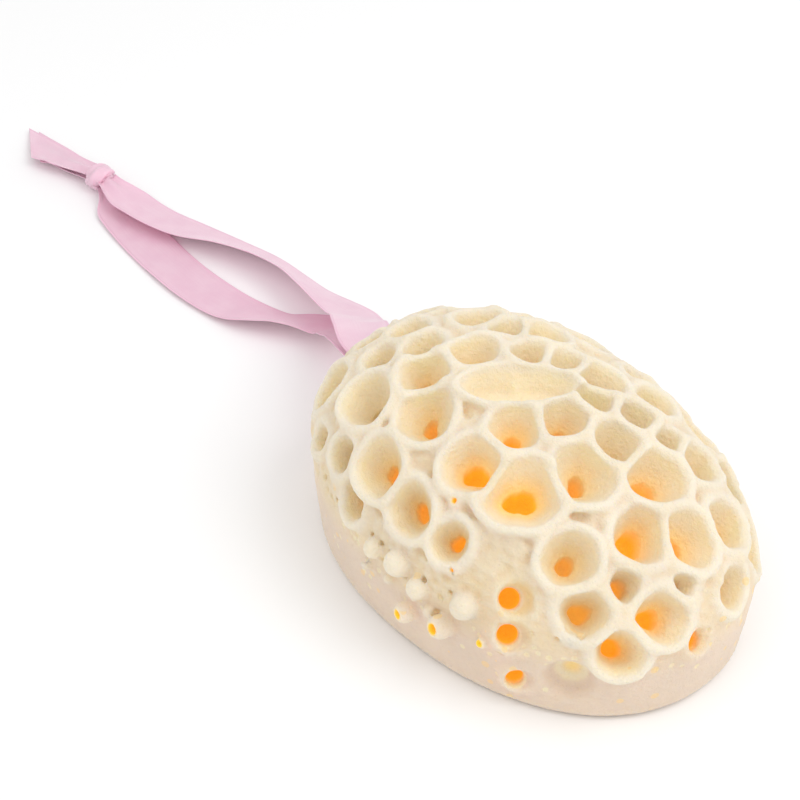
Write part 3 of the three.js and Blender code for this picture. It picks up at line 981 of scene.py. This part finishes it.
def below_rims(points):
    """Millimetres below a dome that just covers the rims: the dome's field there, over
    its slope from short steps along the three axes."""
    step = 0.5
    ahead = [dome_field(*(points.T + way[:, None]), ENVELOPE_GROW) for way in np.eye(3) * step]
    behind = [dome_field(*(points.T - way[:, None]), ENVELOPE_GROW) for way in np.eye(3) * step]
    steep = np.linalg.norm(np.array(ahead) - np.array(behind), axis=0) / (2 * step)
    return -dome_field(*points.T, ENVELOPE_GROW) / np.maximum(steep, LEAST_STEEP)


# How far below the rims a point lies: mask of the painted yellow light in the hollows.
hollow = below_rims(skin)
# The throat share: mask of the painted gold and orange light in cups, holes, the dimple and pits.
throat = np.zeros(len(skin))
# Mask of the painted highlight on rims and knob tips.
rim_highlight = np.zeros(len(skin))
for cup in cups:
    span = cup.span() + cup.depth / 2
    close = np.linalg.norm(skin - (cup.mouth + cup.bottom) / 2, axis=1) < span
    depth, away, _ = cup.around(*skin[close].T)
    wall = np.interp(depth, cup.table_depth, cup.table_radius)
    within = smooth_step(wall + 0.9 - away, 0.0, 0.7) * (depth > 0)
    share = np.clip(depth / DEEPEST_THROAT, 0, 1)
    plain = np.minimum(share, PLAIN_SHARE)
    throat[close] = np.maximum(throat[close], within * (plain + (share - plain) * cup.bored))
    near = np.maximum(cup.lip(depth, away), 0) / RIM_SPREAD
    rim_highlight[close] = np.maximum(rim_highlight[close], np.exp(-near ** 2) * (depth < RIM_DEPTH))
# Painted orange light down the knobs' holes and the plain holes.
for start, end, radius in hole_rods:
    way = end - start
    share = np.clip(((skin - start) @ way) / np.dot(way, way), 0, 1)
    away = np.linalg.norm(skin - start - share[:, None] * way, axis=1)
    within = smooth_step(radius + 0.9 - away, 0, 0.8)
    throat = np.maximum(throat, within * smooth_step(share, -0.05, 0.5))
# Painted gold light in the dimple.
for longitude, latitude, width, _ in DIMPLES:
    foot, normal = skin_frame(longitude, latitude)
    rel = skin - foot
    away = np.linalg.norm(rel - (rel @ normal)[:, None] * normal * 0.8, axis=1)
    within = smooth_step(width * 0.42 - away, 0.0, width * 0.36)
    throat = np.maximum(throat, DIMPLE_GLOW_SHARE * within)
# Painted highlight on the knobs' tips.
for tip, radius in knob_tips:
    away = np.linalg.norm(skin - tip, axis=1)
    rim_highlight = np.maximum(rim_highlight, smooth_step(radius * 1.25 - away, 0.0, 1.2))
# Painted gold light in the pits.
for foot, radius in pits:
    away = np.linalg.norm(skin - foot, axis=1)
    throat = np.maximum(throat, PIT_GLOW_SHARE * smooth_step(radius + 0.3 - away, 0.0, 0.7))


def point_number(piece, name, values):
    """A number for each point of a piece, that its material can read."""
    attribute = piece.data.attributes.new(name, "FLOAT", "POINT")
    attribute.data.foreach_set("value", np.asarray(values, dtype=np.float32))


point_number(sponge, "hollow", np.clip(hollow / DEEPEST_HOLLOW, 0, 1))
point_number(sponge, "throat", throat)
point_number(sponge, "rim_highlight", rim_highlight)
print("hollow runs to", round(float(hollow.max()), 1), "mm, throat to", round(float(throat.max()), 2))

# %% [markdown]
# ## The foam's finish
# Skinned foam is matt and slightly see-through. Its wall is a pinkish beige, and its rims are
# painted a warm white, a painted highlight. Deep inside, light has passed through so much
# foam that only its yellow and orange are left, and that light is painted into the colour.
# The three numbers measured above choose the painted colour, and deep in the throats a weak
# glow, painted light, stands for the light that comes through from behind. Over that go a
# faint mottling, fine pores with painted shade at their middles, golden specks on the wall,
# and a grain like an eggshell's.

# %% Helpers for materials


def new_material(name):
    """A node material that holds only its output and its shader."""
    material = bpy.data.materials.new(name)
    material.use_nodes = True
    tree = material.node_tree
    tree.nodes.clear()
    output = tree.nodes.new("ShaderNodeOutputMaterial")
    shader = tree.nodes.new("ShaderNodeBsdfPrincipled")
    tree.links.new(shader.outputs["BSDF"], output.inputs["Surface"])
    return material, tree, shader


def linear(red, green, blue):
    """A colour given as it looks on a screen, 0 to 255, in the renderer's own numbers."""
    def one(value):
        value /= 255
        return value / 12.92 if value <= 0.04045 else ((value + 0.055) / 1.055) ** 2.4
    return (one(red), one(green), one(blue), 1.0)


def feed(tree, made, inputs):
    """Join a node's inputs to sockets, or set them to numbers."""
    for key, value in inputs.items():
        if isinstance(value, bpy.types.NodeSocket):
            tree.links.new(value, made.inputs[key])
        else:
            made.inputs[key].default_value = value


def node(tree, kind, inputs=None, **settings):
    """A node with its settings and its inputs."""
    made = tree.nodes.new("ShaderNode" + kind)
    for key, value in settings.items():
        setattr(made, key, value)
    feed(tree, made, inputs or {})
    return made


def blended(tree, share, first, second, how="MIX"):
    """A colour mixed from two by a share, or multiplied."""
    made = node(tree, "Mix", data_type="RGBA", blend_type=how)
    feed(tree, made, {0: share, 6: first, 7: second})
    return made.outputs[2]


def ramped(tree, value, low, high, to_low=0.0, to_high=1.0):
    """A number carried smoothly from one span to another."""
    made = node(tree, "MapRange", {"Value": value, "From Min": low, "From Max": high,
                                   "To Min": to_low, "To Max": to_high},
                interpolation_type="SMOOTHSTEP")
    return made.outputs["Result"]


def maths(tree, how, *values):
    """One step of arithmetic on numbers or sockets."""
    return node(tree, "Math", dict(enumerate(values)), operation=how).outputs[0]


def bumped(tree, layers):
    """A normal from bumps laid over each other: each has a height, strength and reach."""
    normal = {}
    for height, strength, reach in layers:
        bump = node(tree, "Bump", {"Height": height, "Strength": strength, "Distance": reach, **normal})
        normal = {"Normal": bump.outputs["Normal"]}
    return normal["Normal"]


# %% Foam material
WALL_COLOUR = linear(230, 210, 190)
CREAM_COLOUR = linear(233, 217, 190)
# Painted highlight: rims and knob tips paler than the cream.
RIM_HIGHLIGHT_COLOUR = linear(236, 224, 204)
# Painted light: yellow in the hollows between the cups, for light gone deep into the foam.
HOLLOW_GLOW_COLOUR = linear(241, 218, 166)
# Painted light: pale bowls, then gold and orange down the throats, for light passed through the foam. The
# gold is also the colour of the real specks on the wall.
BOWL_GLOW_COLOUR = linear(243, 229, 198)
GOLD_GLOW_AND_SPECK_COLOUR = linear(250, 214, 140)
THROAT_GLOW_COLOUR = linear(255, 194, 62)
THROAT_GLOW_LAYERS = [(0.0, 0.2, BOWL_GLOW_COLOUR), (0.26, 0.62, GOLD_GLOW_AND_SPECK_COLOUR), (0.52, 0.8, THROAT_GLOW_COLOUR)]
BLACK = (0.0, 0.0, 0.0, 1.0)
# Painted light: the throats glow, though the foam is no lamp.
GLOW_STRENGTH = 0.27


def foam_material():
    """The foam: colour from depth, throat and rim with painted light in it, a painted glow, painted shade
    in the pores, and pores and grain in the bump.
    """
    material, tree, shader = new_material("foam")
    place = node(tree, "TexCoord").outputs["Object"]
    height = node(tree, "SeparateXYZ", {"Vector": place}).outputs["Z"]
    hollow_glow_share, throat_glow_share, rim_highlight_share = (
        node(tree, "Attribute", attribute_name=name).outputs["Fac"]
        for name in ("hollow", "throat", "rim_highlight"))

    cloudy = node(tree, "TexNoise", {"Vector": place, "Scale": 70.0, "Detail": 4.0}).outputs["Fac"]
    fine = node(tree, "TexNoise", {"Vector": place, "Scale": 900.0, "Detail": 5.0}).outputs["Fac"]
    pores, cells = (
        node(tree, "TexVoronoi", {"Vector": place, "Scale": scale, "Randomness": 1.0}).outputs["Distance"]
        for scale in (900.0, 2200.0))

    upper = ramped(tree, height, 0.014, 0.034)
    colour = blended(tree, upper, WALL_COLOUR, CREAM_COLOUR)
    # Painted light: yellow in the hollows of the upper part.
    deep = ramped(tree, hollow_glow_share, 0.10, 0.34)
    colour = blended(tree, maths(tree, "MULTIPLY", deep, upper), colour, HOLLOW_GLOW_COLOUR)
    # Painted highlight on rims and knob tips.
    colour = blended(tree, rim_highlight_share, colour, RIM_HIGHLIGHT_COLOUR)
    # Painted light: gold and orange in bowls, throats, holes, the dimple and the pits.
    for low, high, tint in THROAT_GLOW_LAYERS:
        colour = blended(tree, ramped(tree, throat_glow_share, low, high), colour, tint)
    # Painted light: an emission in the throats' colour, so that they glow.
    glow = blended(tree, ramped(tree, throat_glow_share, 0.35, 0.85), BLACK, colour)
    mottle = ramped(tree, cloudy, 0.3, 0.7, 0.965, 1.03)
    colour = blended(tree, 1.0, colour, mottle, how="MULTIPLY")
    # Painted shade: a little darker at the middle of each pore.
    pore_shade = ramped(tree, pores, 0.05, 0.30, 0.90, 1.0)
    colour = blended(tree, 0.5, colour, pore_shade, how="MULTIPLY")

    speck_shape = node(tree, "TexVoronoi", {"Vector": place, "Scale": 300.0})
    speck_size = node(tree, "TexWhiteNoise", {"Vector": speck_shape.outputs["Position"]})
    speck_edge = ramped(tree, speck_size.outputs["Value"], 0.72, 1.0, 0.0, 0.32)
    speck = maths(tree, "LESS_THAN", speck_shape.outputs["Distance"], speck_edge)
    speck = maths(tree, "MULTIPLY", speck, ramped(tree, height, 0.034, 0.026))
    colour = blended(tree, maths(tree, "MULTIPLY", speck, 0.5), colour, GOLD_GLOW_AND_SPECK_COLOUR)

    feed(tree, shader, {
        "Base Color": colour, "Emission Color": glow, "Emission Strength": GLOW_STRENGTH,
        "Roughness": ramped(tree, fine, 0.3, 0.7, 0.62, 0.8),
        "Normal": bumped(tree, [(cells, 0.4, 0.0003), (pores, 0.4, 0.0004), (fine, 0.5, 0.0006)]),
        "Subsurface Weight": 0.55, "Subsurface Radius": (1.0, 0.85, 0.55),
        "Subsurface Scale": 0.005, "Specular IOR Level": 0.25})
    return material


foam = foam_material()
sponge.data.materials.append(foam)
print("foam has", len(foam.node_tree.nodes), "nodes")

# %% [markdown]
# ## The ribbon's finish
# Satin has long threads on its face, all running along the ribbon, so it is smooth and
# glossy with highlights drawn out across the threads. Fine lines along the ribbon stand
# for the threads, and fainter ones across it for the weft. A woven selvedge about three
# quarters of a millimetre wide runs down both edges and is a little duller.

# %% Satin material
RIBBON_PINK = linear(247, 206, 222)
RIBBON_DEEP = linear(236, 182, 206)
WARP_PITCH = 0.00022
WEFT_PITCH = 0.00042


def satin_material():
    """Pale pink satin, read from the ribbon's own map of the cloth. A thread is a sine
    of the distance along or across the ribbon."""
    material, tree, shader = new_material("ribbon_satin")
    cloth = node(tree, "Attribute", attribute_name="cloth").outputs["Vector"]
    split = node(tree, "SeparateXYZ", {"Vector": cloth})
    from_middle = maths(tree, "ABSOLUTE", split.outputs["Y"])
    half_width = RIBBON_WIDTH / 2 * MM
    edge = ramped(tree, from_middle, half_width - 0.0010, half_width - 0.0006)
    warp, weft = (
        maths(tree, "SINE", maths(tree, "MULTIPLY", split.outputs[part], 2 * math.pi / pitch))
        for part, pitch in (("Y", WARP_PITCH), ("X", WEFT_PITCH)))

    slow = node(tree, "TexNoise", {"Vector": cloth, "Scale": 160.0, "Detail": 3.0})
    streak_place = node(tree, "Mapping", {"Vector": cloth, "Scale": (60.0, 4200.0, 1.0)})
    streaks = node(tree, "TexNoise", {"Vector": streak_place.outputs[0], "Scale": 1.0})
    colour = RIBBON_PINK
    for share in (ramped(tree, slow.outputs["Fac"], 0.3, 0.7, 0.0, 0.35),
                  ramped(tree, streaks.outputs["Fac"], 0.35, 0.7, 0.0, 0.25),
                  maths(tree, "MULTIPLY", edge, 0.55)):
        colour = blended(tree, share, colour, RIBBON_DEEP)

    weave = maths(tree, "MULTIPLY_ADD", weft, 0.5, warp)
    feed(tree, shader, {
        "Base Color": colour, "Roughness": maths(tree, "MULTIPLY_ADD", edge, 0.18, 0.42),
        "Normal": bumped(tree, [(weave, 0.25, 0.00004), (edge, 0.6, 0.0001)]),
        "Sheen Weight": 0.25, "Sheen Roughness": 0.4, "Anisotropic": 0.4,
        "Subsurface Weight": 0.2, "Subsurface Radius": (1.0, 0.7, 0.75),
        "Subsurface Scale": 0.002})
    return material


satin = satin_material()
for piece in (upper_strand, lower_strand, upper_tail, lower_tail, knot):
    piece.data.materials.append(satin)
print("satin has", len(satin.node_tree.nodes), "nodes")

# %% [markdown]
# ## The floor and the light
# A white table, a white sky all round, one large soft light from the blunt end and above,
# and a weaker one from the front, so that the shade inside the cups stays light and warm.

# %% Floor, sky and lights
FLOOR_SIZE = 6.0
SKY_STRENGTH = 0.82
LIGHT_AIM = np.array([0.0, 0.0, 0.03])
floor = mesh_piece("floor", np.array([[-1, -1, 0], [1, -1, 0], [1, 1, 0], [-1, 1, 0]])
                   * FLOOR_SIZE / 2, [[0, 1, 2, 3]], smooth=False)
floor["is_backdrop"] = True
floor_material, floor_tree, floor_shader = new_material("pale_table")
feed(floor_tree, floor_shader, {"Base Color": (0.97, 0.97, 0.97, 1.0), "Roughness": 0.9})
floor.data.materials.append(floor_material)

world = bpy.data.worlds.new("studio")
bpy.context.scene.world = world
world.use_nodes = True
sky = world.node_tree.nodes["Background"]
feed(world.node_tree, sky, {"Color": (1.0, 1.0, 1.0, 1.0), "Strength": SKY_STRENGTH})


def soft_light(name, place, size, power):
    """A square soft light at a place in metres, turned to the middle of the sponge."""
    data = bpy.data.lights.new(name, "AREA")
    data.shape = "SQUARE"
    data.size = size
    data.energy = power
    back = unit(np.array(place) - LIGHT_AIM)
    put(name, data, place, back, unit(np.cross([0.0, 0.0, 1.0], back)))


soft_light("key", (0.5, 0.2, 0.8), 0.6, 2.8)
soft_light("fill", (0.0, -0.5, 0.8), 0.6, 0.9)
bpy.context.scene.view_settings.view_transform = "Standard"
bpy.context.scene.view_settings.look = "None"
bpy.context.scene.view_settings.exposure = 0.0

# %% [markdown]
# ## What each piece is, and what it stands for
# Every piece rides on the one body and stands for its plain solid in the imported model.
# The two strands end in the knot, and the length of each strand is printed.

# %% Declarations
STAND_FOR = {
    "sponge_body": sponge, "ribbon_upper_strand": upper_strand,
    "ribbon_lower_strand": lower_strand, "ribbon_knot": knot,
    "ribbon_upper_tail": upper_tail, "ribbon_lower_tail": lower_tail}
for solid, piece in STAND_FOR.items():
    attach(piece, "root")
    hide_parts(solid)


def line_length(line):
    """Length of a line of points, in metres."""
    return float(np.linalg.norm(np.diff(line, axis=0), axis=1).sum())


for strand, line, others in ((upper_strand, upper_line, [knot, upper_tail]),
                             (lower_strand, lower_line, [lower_tail])):
    print(strand.name, "has", round(line_length(line) * 1000), "mm of ribbon")

# %% [markdown]
# ## Sizes, and the end
# The finished pieces should fill nearly the same box as the plain solids they stand in
# for. Both boxes are written down, so that they can be compared after every change.

# %% Sizes, and the end
visual_box = as_lists(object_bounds())
for name, low_high in (("cad", cad_box), ("visual", visual_box)):
    print(name, "box", [round((b - a) * 1000, 1) for a, b in zip(*low_high)], "mm")
